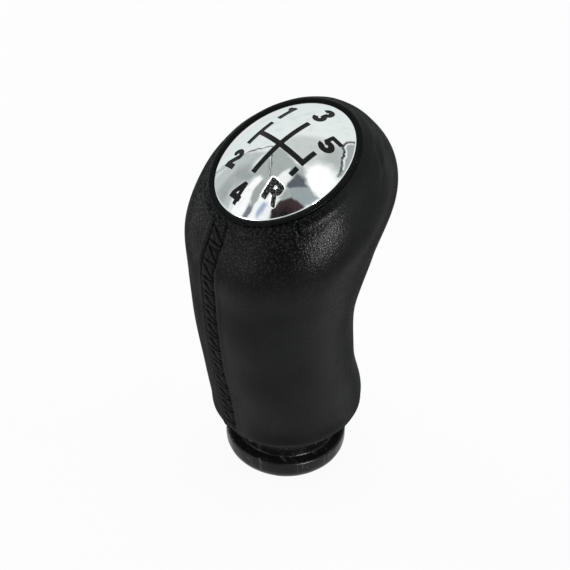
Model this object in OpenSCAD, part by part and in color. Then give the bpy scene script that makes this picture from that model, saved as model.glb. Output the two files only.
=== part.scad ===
// Gear shift knob: a sewn leather sleeve over a moulded core, with an oval plated cap on top
// and a plastic collar below that holds the neck of the lever's gaiter.
// All sizes are in millimetres. The origin is the mouth of the lever bore, in the middle of the
// collar's bottom face. +Z runs up the lever, +Y to the front of the car, +X to its right.

/* [Heel and ankle] */
// Height of the leather's underside, where it is turned in
heel_z = 15.4; // [14:0.1:18]
// Radius of the roll where the leather turns in
heel_roll = 2.5; // [2.2:0.1:4]
// Diameter of the grip just above the roll
heel_dia = 37.4; // [34:0.2:42]
// Shift of the heel's middle towards the front
heel_y = -0.3; // [-2:0.1:2]
// Height of the ankle
ankle_z = 22.5; // [21.5:0.5:27]
// Width of the ankle across the car
ankle_w = 36.6; // [33:0.2:41]
// Length of the ankle along the car
ankle_l = 38.2; // [34:0.2:42]
// Shift of the ankle's middle towards the front
ankle_y = -0.6; // [-3:0.1:2]

/* [Palm and waist] */
// Height of the palm section
palm_z = 36; // [33:0.5:40]
// Width of the palm section
palm_w = 37.3; // [34:0.2:41]
// Length of the palm section
palm_l = 37.2; // [34:0.2:41]
// Shift of the palm section's middle towards the front
palm_y = -3.6; // [-5:0.1:0]
// Height of the waist section
waist_z = 52; // [48:0.5:56]
// Width of the waist section
waist_w = 38.9; // [36:0.2:43]
// Length of the waist section
waist_l = 39.3; // [37:0.2:43]
// Shift of the waist section's middle towards the front
waist_y = -5.1; // [-6.5:0.1:-3]

/* [Head] */
// Height of the shoulder section
shoulder_z = 67.5; // [63:0.5:71]
// Width of the shoulder section
shoulder_w = 43; // [40:0.2:47]
// Length of the shoulder section
shoulder_l = 45.9; // [43:0.2:50]
// Shift of the shoulder section's middle towards the front
shoulder_y = -3.3; // [-5:0.1:0]
// Height of the fullest section of the head
head_z = 81; // [79:0.5:83]
// Width of the fullest section
head_w = 46.6; // [43:0.2:50]
// Length of the fullest section
head_l = 53.5; // [50:0.2:57]
// Shift of the fullest section's middle towards the front
head_y = -0.8; // [-3:0.1:2]
// Depth of the brow, where the head turns over to the cap, below the cap's edge plane
brow_drop = 4.8; // [4:0.1:6]
// Distance by which the brow stands out past the ring, all round
brow_out = 3.9; // [3:0.1:4.6]
// Shift of the brow section's middle towards the front
brow_y = -1.6; // [-3:0.1:0]

/* [Cap] */
// Height of the middle of the cap's edge plane
cap_z = 94.5; // [94:0.1:97]
// Shift of the cap's middle towards the front
cap_y = -3.1; // [-4:0.1:-2]
// Lean of the cap towards the driver, in degrees
cap_tilt = 20.8; // [15:0.2:25]
// Length of the oval cap along the car
cap_l = 36.6; // [34:0.2:38]
// Width of the oval cap across the car
cap_w = 30.8; // [28:0.2:32]
// Rise of the cap's dome above its edge
cap_rise = 5.8; // [3:0.1:8]
// Wall of the cap
cap_t = 1.6; // [1.2:0.1:2.2]
// Depth of the cap's skirt below its edge
skirt_h = 1.4; // [1:0.1:2]
// Width of the black ring round the cap
bezel_w = 1.5; // [1.2:0.1:2]
// Depth of the ring below the cap's edge
bezel_h = 2.8; // [2.4:0.1:3.4]

/* [Leather and thread] */
// Thickness of the leather
leather_t = 1.3; // [1:0.1:1.6]
// Width of the sewn band down the back
seam_w = 4; // [3:0.1:5]
// Depth to which the stitches pull the band in
seam_sink = 0.5; // [0.3:0.05:0.6]
// Diameter of the lacing thread
thread_dia = 0.8; // [0.6:0.05:1]
// Distance from one cross stitch to the next
stitch_pitch = 4.9; // [4:0.1:6]

/* [Collar] */
// Height of the collar's flange
flange_h = 7; // [6:0.1:8]
// Largest diameter of the flange
flange_dia = 31.1; // [30:0.1:34]
// Diameter of the flange's foot
foot_dia = 26.7; // [25:0.1:28]
// Diameter of the neck that the gaiter is tied to
neck_dia = 25.4; // [24.6:0.1:26]
// Height of the top of the collar's spigot inside the core
spigot_z = 25; // [23:0.5:28]
// Wall of the collar
collar_t = 2; // [1.5:0.1:2.4]
// Thickness of the collar's floor
floor_t = 3; // [2:0.1:4]

/* [Lever bush] */
// Diameter of the gear lever
lever_dia = 12; // [10:0.1:12.6]
// Depth to which the lever goes into the knob
lever_depth = 58; // [50:0.5:60]
// Wall of the bush
bush_t = 2; // [1.4:0.1:2.1]
// Height from which the bush is split into fingers
split_z = 32; // [30:0.5:36]
// Width of the splits
split_w = 1.2; // [0.8:0.1:2]
// Height of the spring ring round the fingers
spring_z = 50; // [42:0.5:52]
// Wire of the spring ring
spring_wire = 1.1; // [0.9:0.05:1.3]

/* [Core] */
// Height of the floor of the core's pocket
pocket_z = 36; // [34:0.5:40]
// Width of the core's pocket
pocket_w = 25.2; // [24.8:0.2:25.8]
// Length of the core's pocket
pocket_l = 30.6; // [30:0.2:31.2]
// Shift of the pocket's middle towards the front
pocket_y = -4.6; // [-5:0.1:-4.2]
// Wall of the tube that takes the bush
tube_t = 2; // [1.6:0.1:2.2]
// Thickness of the core's ribs
rib_t = 1.6; // [1.2:0.1:2.4]

/* [Hidden] */
$fn = 64;
eps = 0.01;

// Clearances between pieces that seat in each other
glue_gap = 0.2;
seat_gap = 0.2;
stitch_gap = 0.06;
end_gap = 1;
cut_past = 1;

// Pegs of the ring, the ledge it carries the cap on, and the cap's hooks
peg_r = 0.9;
peg_l = 4;
peg_out = -0.75;
ledge_w = 2.2;
hook_at = 40;
hook_w = 4;
hook_t = 1.2;
hook_out = 0.7;
hook_drop = 5.5;
hook_room = 0.4;

// Beads that hold the spigot, their groove in the core, and the ribs' rise over the tube
bead_h = 0.6;
bead_groove_h = 3;
rib_rise = 6;

// Resolution of the leather, the ovals and the thread
loft_steps = 3;
roll_steps = 3;
round_columns = 35;
oval_columns = 56;
thread_sides = 6;
halvings = 14;

// The sections of the grip are superellipses, a little squarer than an ellipse, and true
// ellipses at the rim. They lean more and more with height, up to the lean of the cap.
grip_power = 2.14;
rim_power = 2;
lean_low_z = 30;
lean_high_z = 90;
lean_power = 1.3;

// The leather's rim lies a little below the cap's edge plane, under the lip of the ring.
rim_drop = 0.6;
lip_drop = 0.35;
rim_y = cap_y + rim_drop * sin(cap_tilt);
rim_z = cap_z - rim_drop * cos(cap_tilt);

// Rows of the grip: height, middle, half width, half length
stations = [
  [heel_z + heel_roll, heel_y, heel_dia / 2, heel_dia / 2],
  [ankle_z, ankle_y, ankle_w / 2, ankle_l / 2],
  [palm_z, palm_y, palm_w / 2, palm_l / 2],
  [waist_z, waist_y, waist_w / 2, waist_l / 2],
  [shoulder_z, shoulder_y, shoulder_w / 2, shoulder_l / 2],
  [head_z, head_y, head_w / 2, head_l / 2],
  [cap_z - brow_drop, brow_y, cap_w / 2 + bezel_w + brow_out, cap_l / 2 + bezel_w + brow_out],
  [rim_z, rim_y, cap_w / 2 + bezel_w, cap_l / 2 + bezel_w]
];
last_station = len(stations) - 1;

// The collar's neck, and the holes and the turned-in edge that clear it
neck_r = neck_dia / 2;
core_mouth_r = neck_r + seat_gap;
leather_edge_r = core_mouth_r + 0.4;
bush_r = lever_dia / 2 + bush_t;
bush_bore_r = bush_r + seat_gap;
spring_groove_r = bush_r - 0.6 * spring_wire;
core_floor_z = spigot_z + 1;

function clamp(x, low, high) = min(max(x, low), high);

function lean(z) = cap_tilt * pow(clamp((z - lean_low_z) / (lean_high_z - lean_low_z), 0, 1), lean_power);

// Smooth curve through four rows, between the second and the third
function between(p0, p1, p2, p3, t) =
  0.5 * (2 * p1 + (p2 - p0) * t + (2 * p0 - 5 * p1 + 4 * p2 - p3) * t * t
         + (3 * p1 - p0 - 3 * p2 + p3) * t * t * t);

// A station, or one more of the same trend past either end
function station(i) =
  i < 0 ? 2 * stations[0] - stations[1] :
  i > last_station ? 2 * stations[last_station] - stations[last_station - 1] : stations[i];

function loft_row(t) =
  let (i = min(floor(t), last_station - 1))
  between(station(i - 1), station(i), station(i + 1), station(i + 2), t - i);

// Rows of the turned-in heel: the flat underside, then the roll up to the first station
function heel_row(turn) =
  let (r = heel_dia / 2 - heel_roll * (1 - cos(turn)))
  [heel_z + heel_roll * (1 - sin(turn)), heel_y, r, r];

grip_rows = concat(
  [[heel_z, 0, leather_edge_r, leather_edge_r]],
  [for (k = [0 : roll_steps - 1]) heel_row(90 * (1 - k / roll_steps))],
  [for (k = [0 : loft_steps * last_station]) loft_row(k / loft_steps)]
);

function row_power(k) =
  let (rows_left = len(grip_rows) - 1 - k)
  rows_left >= loft_steps ? grip_power
    : rim_power + (grip_power - rim_power) * rows_left / loft_steps;

// Columns of the seam band, as distances from the seam, and round columns for the rest
seam_columns = [-seam_w / 2 - 2.4, -seam_w / 2 - 0.5, -seam_w / 2, -seam_w / 4, 0,
                seam_w / 4, seam_w / 2, seam_w / 2 + 0.5, seam_w / 2 + 2.4];
columns = len(seam_columns) + round_columns;

// Angle round a section at which a point lies x from the seam
function seam_angle(x, half_width, power) =
  -90 + sign(x) * asin(pow(abs(x) / half_width, power / 2));

function column_angle(j, half_width, power) =
  j < len(seam_columns) ? seam_angle(seam_columns[j], half_width, power) :
  let (edge = seam_angle(seam_columns[len(seam_columns) - 1], half_width, power))
  edge + 2 * (90 - edge) * (j - len(seam_columns) + 1) / (round_columns + 1);

function section_point(row, angle, power) =
  let (c = cos(angle), s = sin(angle), tilt = lean(row[0]),
       x = row[2] * sign(c) * pow(abs(c), 2 / power),
       v = row[3] * sign(s) * pow(abs(s), 2 / power))
  [x, row[1] + v * cos(tilt), row[0] + v * sin(tilt)];

grip_points = [
  for (k = [0 : len(grip_rows) - 1])
    [for (j = [0 : columns - 1])
      section_point(grip_rows[k], column_angle(j, grip_rows[k][2], row_power(k)), row_power(k))]
];

function unit(v) = v / norm(v);

// Outward normal of the grip at a grid point
function grip_normal(k, j) =
  let (above = grip_points[min(k + 1, len(grip_rows) - 1)][j],
       below = grip_points[max(k - 1, 0)][j],
       right = grip_points[k][(j + 1) % columns],
       left = grip_points[k][(j + columns - 1) % columns])
  unit(cross(right - left, above - below));

// One ring of the grid, moved in from the leather's face by a depth
function inset_ring(k, depth) =
  [for (j = [0 : columns - 1]) grip_points[k][j] - depth * grip_normal(k, j)];

// Depth of the sewn band at a column: deepest where the two edges of the leather meet, least
// on the two swellings beside them
crease_share = 1.6;
band_share = 0.7;
function seam_depth(j) =
  j >= len(seam_columns) ? 0 :
  let (x = abs(seam_columns[j]))
  seam_sink * (x > seam_w / 2 + eps ? 0 : x < eps ? crease_share : x < seam_w / 3 ? band_share : 1);

// The band fades out at the turned-in edge and at the rim, where the sleeve is held flat
function seam_fade(k) = k == 0 ? 0 : k == len(grip_rows) - 1 ? 0.3 : 1;

function outer_ring(k) =
  [for (j = [0 : columns - 1]) grip_points[k][j] - seam_fade(k) * seam_depth(j) * grip_normal(k, j)];

// Faces of a grid of rings, each ring closed, wound so that they face outwards
function wall_faces(rings, cols, closed) =
  [for (i = [0 : rings - (closed ? 1 : 2)], j = [0 : cols - 1])
    let (a = i * cols + j, b = i * cols + (j + 1) % cols,
         c = ((i + 1) % rings) * cols + (j + 1) % cols, d = ((i + 1) % rings) * cols + j)
    each [[a, d, c], [a, c, b]]];

// Fans that close the first and the last ring of a grid onto two middle points
function end_faces(rings, cols) =
  let (first_middle = rings * cols, last_middle = first_middle + 1, top = (rings - 1) * cols)
  concat([for (j = [0 : cols - 1]) [first_middle, j, (j + 1) % cols]],
         [for (j = [0 : cols - 1]) [last_middle, top + (j + 1) % cols, top + j]]);

function flatten(list) = [for (part = list) each part];
function middle(ring) = [for (axis = [0 : 2]) sum([for (p = ring) p[axis]]) / len(ring)];
function sum(list) = list * [for (x = list) 1];

// A closed loop of rings, such as a sleeve with a thick wall
module ring_loop(rings) {
  polyhedron(points = flatten(rings), faces = wall_faces(len(rings), len(rings[0]), true), convexity = 8);
}

// A stack of rings with closed ends
module ring_stack(rings) {
  polyhedron(points = concat(flatten(rings), [middle(rings[0]), middle(rings[len(rings) - 1])]),
             faces = concat(wall_faces(len(rings), len(rings[0]), false),
                            end_faces(len(rings), len(rings[0]))), convexity = 8);
}

// Puts its children in the cap's own frame: the origin in the middle of the cap's edge plane
module on_cap() {
  translate([0, cap_y, cap_z]) rotate([cap_tilt, 0, 0]) children();
}

// Outline of the cap's edge, moved outwards by a distance
function oval_point(angle, out) =
  let (w = cap_w / 2, l = cap_l / 2)
  [w * cos(angle), l * sin(angle)] + out * unit([l * cos(angle), w * sin(angle)]);

function oval_ring(out, h) =
  [for (j = [0 : oval_columns - 1]) let (p = oval_point(360 * j / oval_columns, out)) [p[0], p[1], h]];

// Direction that faces outwards from the oval at an angle
function oval_facing(angle) = atan2(cap_w * sin(angle), cap_l * cos(angle));

// Places its children on the oval, facing outwards, at each of four angles
module round_oval(first, out) {
  for (angle = [first, 180 - first, 180 + first, -first])
    translate(oval_point(angle, out)) rotate([0, 0, oval_facing(angle)]) children();
}

// The sewn sleeve, with the sunk band of its seam at the back
module leather_cover() {
  rings = len(grip_rows);
  color("#26272a") ring_loop(concat(
    [for (k = [0 : rings - 1]) outer_ring(k)],
    [for (k = [rings - 1 : -1 : 0]) inset_ring(k, leather_t)]
  ));
}

// A point of the grip's face at a place along the rows and a distance x from the seam
function band_point(row_place, x, out) =
  let (row = loft_row(row_place), p = section_point(row, seam_angle(x, row[2], grip_power), grip_power),
       above = loft_row(row_place + 0.02),
       q = section_point(above, seam_angle(x, above[2], grip_power), grip_power),
       side = section_point(row, seam_angle(x + 0.1, row[2], grip_power), grip_power))
  p + out * unit(cross(side - p, q - p));

// Height of the seam line at a place along the rows, and the place that has a given height
function seam_height(row_place) = band_point(row_place, 0, 0)[2];
function place_at(z, low, high, tries) =
  let (half = (low + high) / 2)
  tries == 0 ? half : seam_height(half) < z ? place_at(z, half, high, tries - 1)
                                            : place_at(z, low, half, tries - 1);

// The lacing runs from just above the heel's roll to just below the ring. The back leans, so a
// pitch along the leather is a little less in height.
seam_low_z = heel_z + heel_roll + 1.5 * thread_dia;
seam_high_z = seam_height(last_station) - 2.8 * thread_dia;
back_slope = 0.93;
periods = floor((seam_high_z - seam_low_z) / (stitch_pitch * back_slope));
stitch_rise = (seam_high_z - seam_low_z) / periods;

// One visible run of the thread across the band, dipping into the leather at both ends
module stitch(z_left, z_right) {
  reach = seam_w / 2 - 0.3 * thread_dia;
  ride = thread_dia / 2 - seam_sink * band_share + stitch_gap;
  shape = [[-1, -0.1], [-0.8, 0], [0, 0.08], [0.8, 0], [1, -0.1]];
  path = [for (s = shape)
    let (z = z_left + (z_right - z_left) * (s[0] + 1) / 2)
    band_point(place_at(z, 0, last_station, halvings), s[0] * reach, ride + s[1] * thread_dia)];
  along = [for (i = [0 : len(path) - 1])
    unit(path[min(i + 1, len(path) - 1)] - path[max(i - 1, 0)])];
  ring_stack([for (i = [0 : len(path) - 1])
    let (side = unit(cross(along[i], [0, -1, 0.2])), up = cross(side, along[i]))
    [for (n = [0 : thread_sides - 1])
      path[i] + thread_dia / 2 * (cos(360 * n / thread_sides) * side + sin(360 * n / thread_sides) * up)]]);
}

// The lacing: a cross stitch and a slanting stitch in each period
module seam_thread() {
  gap = thread_dia * 1.15;
  color("#141416") for (k = [0 : periods - 1]) {
    z = seam_low_z + k * stitch_rise;
    stitch(z, z);
    stitch(z + stitch_rise - gap, z + gap);
  }
}

// Oval prism for the core's pocket
module pocket_oval() {
  polygon([for (j = [0 : oval_columns - 1])
    let (angle = 360 * j / oval_columns) [pocket_w / 2 * cos(angle), pocket_y + pocket_l / 2 * sin(angle)]]);
}

// The moulded core: the leather's inside shape, a ribbed pocket under the cap, the tube for the
// bush, and the mouth that the collar's spigot snaps into
module grip_core() {
  depth = leather_t + glue_gap;
  bore_h = lever_depth + end_gap;
  tube_r = bush_bore_r + tube_t;
  tube_top = bore_h + tube_t;
  bead_room = seat_gap / 2;
  spring_room_h = 5 * spring_wire;
  peg_hole_h = peg_l + seat_gap;
  color("#3a3a3c") difference() {
    ring_stack([for (k = [0 : len(grip_rows) - 1]) inset_ring(k, depth)]);
    on_cap() translate([-head_l, -head_l, -bezel_h - seat_gap]) cube([2 * head_l, 2 * head_l, head_l]);
    difference() {
      translate([0, 0, pocket_z]) linear_extrude(cap_z) pocket_oval();
      cylinder(r = tube_r, h = tube_top);
      for (angle = [30 : 60 : 330])
        rotate([0, 0, angle]) translate([0, -rib_t / 2, 0]) cube([pocket_l, rib_t, tube_top + rib_rise]);
    }
    cylinder(r = bush_bore_r, h = bore_h);
    cylinder(r = core_mouth_r, h = core_floor_z);
    translate([0, 0, spigot_z - bead_groove_h - 1.4])
      cylinder(r = core_mouth_r + bead_h + bead_room, h = bead_groove_h);
    translate([0, 0, spring_z - spring_room_h / 2]) cylinder(r = bush_bore_r + 0.5, h = spring_room_h);
    on_cap() translate([0, 0, -bezel_h - seat_gap]) {
      for (first = [0, 90])
        round_oval(first, peg_out) translate([0, 0, -peg_hole_h])
          cylinder(r = peg_r + 0.15, h = peg_hole_h + cut_past);
      round_oval(hook_at, -ledge_w)
        translate([-hook_t - 2 * hook_room, -hook_w / 2 - hook_room, bezel_h - hook_drop - hook_room])
          cube([hook_t + hook_out + 3 * hook_room, hook_w + 2 * hook_room, hook_drop]);
    }
  }
}

// The glossy black ring: its lip covers the leather's edge, its ledge carries the cap's skirt
module cap_bezel() {
  wall_out = 0.35;
  gap_out = 0.12;
  ledge_top = -skirt_h - seat_gap;
  profile = [
    [wall_out, -bezel_h], [wall_out, -lip_drop], [bezel_w - 0.05, -lip_drop], [bezel_w, 0],
    [bezel_w - 0.25, 0.3], [bezel_w - 0.7, 0.45], [bezel_w * 0.3, 0.3], [gap_out, 0],
    [gap_out, ledge_top], [-ledge_w, ledge_top], [-ledge_w, -bezel_h]
  ];
  color("#0b0b0d") on_cap() {
    ring_loop([for (p = profile) oval_ring(p[0], p[1])]);
    for (first = [0, 90])
      round_oval(first, peg_out) translate([0, 0, -bezel_h - peg_l])
        cylinder(r = peg_r, h = peg_l + (bezel_h + ledge_top) / 2);
  }
}

// The plated cap: a dome with a skirt, and four hooks that snap under the ring's ledge
module shift_cap() {
  inner = 1 - cap_t * 2 / cap_w;
  steps = [0.3, 0.55, 0.75, 0.9];
  rise = [for (s = steps) cap_rise * (1 - s * s)];
  function dome_ring(s, h) = [for (j = [0 : oval_columns - 1])
    [s * cap_w / 2 * cos(360 * j / oval_columns), s * cap_l / 2 * sin(360 * j / oval_columns), h]];
  color("#d9dadc") on_cap() {
    ring_stack(concat(
      [for (i = [0 : 3]) dome_ring(steps[i] * inner, rise[i] - cap_t)],
      [dome_ring(inner, 0), dome_ring(inner, -skirt_h), dome_ring(1, -skirt_h), dome_ring(1, 0)],
      [for (i = [3 : -1 : 0]) dome_ring(steps[i], rise[i])]
    ));
    round_oval(hook_at, -ledge_w - seat_gap) {
      translate([-hook_t, -hook_w / 2, -hook_drop]) cube([hook_t, hook_w, hook_drop + cap_t / 2]);
      translate([0, hook_w / 2, 0]) rotate([90, 0, 0]) linear_extrude(hook_w)
        polygon([[-hook_t / 2, -hook_drop], [0, -hook_drop], [hook_out, -(bezel_h + hook_drop) / 2],
                 [hook_out, -bezel_h - seat_gap], [-hook_t / 2, -bezel_h - seat_gap]]);
    }
  }
}

// Points of an arc in the radius and height plane
function arc(r, z, radius, from, to, steps) =
  [for (k = [0 : steps]) let (a = from + (to - from) * k / steps) [r + radius * cos(a), z + radius * sin(a)]];

// The collar: a rounded flange under the gaiter, the neck it is tied to, and a spigot with beads
module gaiter_collar() {
  belly_z = flange_h * 0.55;
  cavity_r = neck_r - collar_t;
  color("#1a1a1c") {
    rotate_extrude() polygon(concat(
      [[bush_bore_r, 0]],
      arc(foot_dia / 2 - 1, 1, 1, -90, -30, 2),
      [[flange_dia / 2 - 1, belly_z - 2.2], [flange_dia / 2 - 0.25, belly_z - 1], [flange_dia / 2, belly_z]],
      arc(flange_dia / 2 - 0.75, flange_h - 0.6, 0.6, 10, 90, 3),
      [[neck_r + 0.4, flange_h], [neck_r, flange_h + 0.4], [neck_r, spigot_z - 1], [neck_r - 0.6, spigot_z],
       [cavity_r, spigot_z], [cavity_r, floor_t], [bush_bore_r, floor_t]]
    ));
    for (angle = [0 : 120 : 240])
      rotate([0, 0, angle - 20]) rotate_extrude(angle = 40)
        polygon([[neck_r - 0.5, spigot_z - 4.1], [neck_r + bead_h, spigot_z - 3.5],
                 [neck_r + bead_h, spigot_z - 3], [neck_r - 0.5, spigot_z - 1.8]]);
    for (angle = [45 : 90 : 315])
      rotate([0, 0, angle]) translate([bush_bore_r + 0.3, -rib_t / 2, floor_t - 0.5])
        cube([cavity_r - bush_bore_r + 0.5, rib_t, spigot_z - 8 - floor_t]);
  }
}

// The bush: a tube that grips the lever, split into four fingers above, with a shoulder under
// the core's floor and a groove for the spring ring
module lever_bush() {
  shoulder_h = 2.5;
  groove_h = 1.2 * spring_wire;
  color("#6e6f72") difference() {
    union() {
      cylinder(r = bush_r, h = lever_depth);
      translate([0, 0, core_floor_z - seat_gap - shoulder_h])
        cylinder(r = neck_r - collar_t - seat_gap, h = shoulder_h);
    }
    translate([0, 0, -cut_past]) cylinder(r = lever_dia / 2, h = lever_depth + 2 * cut_past);
    difference() {
      translate([0, 0, spring_z - groove_h / 2]) cylinder(r = bush_r + cut_past, h = groove_h);
      cylinder(r = spring_groove_r, h = lever_depth);
    }
    for (angle = [0, 90])
      rotate([0, 0, angle]) translate([-bush_r - cut_past, -split_w / 2, split_z])
        cube([2 * (bush_r + cut_past), split_w, lever_depth]);
  }
}

// The spring ring: an open ring of round wire that squeezes the fingers onto the lever
module spring_ring() {
  ring_r = spring_groove_r + spring_wire / 2 + 0.05;
  color("#b9bcc0") translate([0, 0, spring_z]) rotate([0, 0, 10])
    rotate_extrude(angle = 335) translate([ring_r, 0]) circle(r = spring_wire / 2);
}

leather_cover();
seam_thread();
grip_core();
cap_bezel();
shift_cap();
gaiter_collar();
lever_bush();
spring_ring();
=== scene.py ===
"""Gear shift knob: a sewn leather grip with a plated cap that shows the shift pattern, a black
ring round it, and the collar for the lever's gaiter. Sizes are in millimetres and are turned
into metres as each mesh is made. +Z goes up the lever, +Y to the front of the car."""

import math

import bpy
import numpy as np
from mathutils import Matrix, Vector
from mathutils.geometry import delaunay_2d_cdt


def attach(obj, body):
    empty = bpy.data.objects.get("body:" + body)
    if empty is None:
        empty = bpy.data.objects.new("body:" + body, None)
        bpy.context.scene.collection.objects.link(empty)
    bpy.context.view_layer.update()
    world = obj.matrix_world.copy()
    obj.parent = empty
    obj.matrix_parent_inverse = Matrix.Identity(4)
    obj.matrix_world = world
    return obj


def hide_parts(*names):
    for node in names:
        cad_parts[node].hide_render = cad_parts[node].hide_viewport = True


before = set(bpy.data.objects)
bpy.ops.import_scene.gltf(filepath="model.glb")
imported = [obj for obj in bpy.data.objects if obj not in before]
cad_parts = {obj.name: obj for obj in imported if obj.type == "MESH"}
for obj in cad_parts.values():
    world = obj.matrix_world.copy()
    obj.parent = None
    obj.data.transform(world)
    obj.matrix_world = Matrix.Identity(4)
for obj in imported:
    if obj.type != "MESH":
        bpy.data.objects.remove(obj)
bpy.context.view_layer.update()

# Moulded core
# The body inside the leather, moulded in one piece from black plastic. It keeps its CAD mesh.
# Only its mouth and its bore show, from below.


def start_group(name, inputs, outputs):
    """A shader node group with named number inputs and named outputs."""
    group = bpy.data.node_groups.new(name, "ShaderNodeTree")
    for label, value in inputs:
        socket = group.interface.new_socket(label, in_out="INPUT", socket_type="NodeSocketFloat")
        socket.default_value = value
    for label in outputs:
        group.interface.new_socket(label, in_out="OUTPUT", socket_type="NodeSocketFloat")
    return group, group.nodes.new("NodeGroupInput"), group.nodes.new("NodeGroupOutput")


def put(node, label, value):
    """Gives one input of a node a number, a colour, or what another node puts out."""
    socket = node.inputs[label]
    if isinstance(value, bpy.types.NodeSocket):
        node.id_data.links.new(value, socket)
    else:
        socket.default_value = (*value, 1) if socket.type == "RGBA" else value


def reckon(tree, operation, first, second, third=None, kind="Math"):
    """Works out two or three values with a Math node, or vectors with a VectorMath node."""
    node = tree.nodes.new("ShaderNode" + kind)
    node.operation = operation
    for place, value in enumerate((first, second, third)):
        if value is not None:
            put(node, place, value)
    return node.outputs[0]


def spread(tree, value, low, high, to_low, to_high):
    """Takes a value from one range to another, held at the ends."""
    node = tree.nodes.new("ShaderNodeMapRange")
    for place, number in enumerate((value, low, high, to_low, to_high)):
        put(node, place, number)
    return node.outputs["Result"]


def noise(tree, vector, scale, detail, roughness=0.5):
    """Noise in three dimensions; returns its value."""
    node = tree.nodes.new("ShaderNodeTexNoise")
    for label, value in (("Vector", vector), ("Scale", scale), ("Detail", detail), ("Roughness", roughness)):
        put(node, label, value)
    return node.outputs["Fac"]


def stretched(tree, vector, sizes, turn=(0, 0, 0)):
    """The same place, scaled along each axis and then turned."""
    node = tree.nodes.new("ShaderNodeMapping")
    for label, value in (("Vector", vector), ("Scale", sizes), ("Rotation", turn)):
        put(node, label, value)
    return node.outputs["Vector"]


def place_in(tree):
    """Where a point of the piece lies, in metres."""
    return tree.nodes.new("ShaderNodeTexCoord").outputs["Object"]


# Moulded plastic: a fine eggshell texture, cloudy patches, and thin handling scratches
moulded, moulded_in, moulded_out = start_group(
    "moulded plastic", [("Grain", 1800.0), ("Scratches", 0.5)], ["Height", "Cloud", "Scuff"]
)
place = place_in(moulded)
fine = noise(moulded, place, moulded_in.outputs["Grain"], 2)
cloud = noise(moulded, place, 130, 3, 0.6)
line_a = noise(moulded, stretched(moulded, place, (1400, 1400, 90), (0.5, 0.3, 0)), 1, 1)
line_b = noise(moulded, stretched(moulded, place, (160, 1500, 1500), (0.2, 0.4, 0.9)), 1, 1)
scratch_a, scratch_b = spread(moulded, line_a, 0.66, 0.74, 0, 1), spread(moulded, line_b, 0.67, 0.75, 0, 1)
scratch = reckon(moulded, "ADD", scratch_a, scratch_b)
patch = spread(moulded, noise(moulded, place, 260, 2), 0.45, 0.62, 0, 1)
scuff = reckon(moulded, "MULTIPLY", reckon(moulded, "MULTIPLY", scratch, patch), moulded_in.outputs["Scratches"])
put(moulded_out, "Height", reckon(moulded, "SUBTRACT", fine, scuff))
put(moulded_out, "Cloud", cloud)
put(moulded_out, "Scuff", scuff)


def tint(tree, factor, dark, light):
    """A colour between two colours, by a factor."""
    node = tree.nodes.new("ShaderNodeMix")
    node.data_type = "RGBA"
    for place, value in ((0, factor), (6, dark), (7, light)):
        put(node, place, value)
    return node.outputs[2]


def bumped(tree, shader, height, strength, distance):
    """A Bump node from a height to the shader's normal."""
    node = tree.nodes.new("ShaderNodeBump")
    for label, value in (("Height", height), ("Strength", strength), ("Distance", distance)):
        put(node, label, value)
    put(shader, "Normal", node.outputs["Normal"])


def start_material(name):
    """A new material; returns it, its tree and its Principled shader."""
    material = bpy.data.materials.new(name)
    material.use_nodes = True
    return material, material.node_tree, material.node_tree.nodes["Principled BSDF"]


def plastic(name, dark, light, rough, rough_more, grain, scratches, bump, scratch_tone, shine=0.5):
    """Moulded plastic from the shared group, with its own colours, gloss and wear."""
    material, tree, shader = start_material(name)
    put(shader, "Specular IOR Level", shine)
    skin = tree.nodes.new("ShaderNodeGroup")
    skin.node_tree = moulded
    put(skin, "Grain", grain)
    put(skin, "Scratches", scratches)
    body = tint(tree, spread(tree, skin.outputs["Cloud"], 0.3, 0.7, 0, 1), dark, light)
    put(shader, "Base Color", tint(tree, skin.outputs["Scuff"], body, scratch_tone))
    clean = spread(tree, skin.outputs["Cloud"], 0.3, 0.7, rough, rough_more)
    put(shader, "Roughness", reckon(tree, "MULTIPLY_ADD", skin.outputs["Scuff"], 0.3, clean))
    bumped(tree, shader, skin.outputs["Height"], bump, 0.00005)
    return material


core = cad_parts["grip_core"]
core.data.materials.clear()
core.data.materials.append(plastic(
    "core plastic", (0.018, 0.018, 0.019), (0.03, 0.03, 0.031), 0.42, 0.6, 1500.0, 0.4, 0.5,
    (0.09, 0.09, 0.09),
))

# Leather sleeve
# One cut piece of black calf leather, 1.3 mm thick, stretched over the core. It is closed down
# the back by the lacing, turned in round the heel, and tucked under the ring at the top.

cap_tilt = math.radians(20.8)
cap_middle = np.array([0.0, -3.1, 94.5])
rim_drop = 0.6
rim_z = cap_middle[2] - rim_drop * math.cos(cap_tilt)
# Height, middle, half width and half length of each section
sections = np.array([
    [17.9, -0.3, 18.7, 18.7],
    [22.5, -0.6, 18.3, 19.1],
    [36.0, -3.6, 18.65, 18.6],
    [52.0, -5.1, 19.45, 19.65],
    [67.5, -3.3, 21.5, 22.95],
    [81.0, -0.8, 23.3, 26.75],
    [89.7, -1.6, 20.8, 23.7],
    [rim_z, cap_middle[1] + rim_drop * math.sin(cap_tilt), 16.9, 19.8],
])
last_section = len(sections) - 1
squareness = 0.14
leather_t = 1.3
heel_z, heel_roll, heel_r, hole_r = 15.4, 2.5, 18.7, 13.3
seam_w = 4.0
thread_dia = 0.8


def grip_rows(t):
    """Rows of the grip at places along the sections: a smooth curve through them."""
    table = np.vstack([2 * sections[0] - sections[1], sections, 2 * sections[-1] - sections[-2]])
    i = np.minimum(t.astype(int), last_section - 1)
    s = (t - i)[:, None]
    a, b, c, d = table[i], table[i + 1], table[i + 2], table[i + 3]
    return 0.5 * (2 * b + (c - a) * s + (2 * a - 5 * b + 4 * c - d) * s**2 + (3 * b - a - 3 * c + d) * s**3)


def grip_power(t):
    """The sections are a little squarer than an ellipse, and true ellipses at the rim."""
    return 2 + squareness * np.clip(last_section - t, 0, 1)


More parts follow.
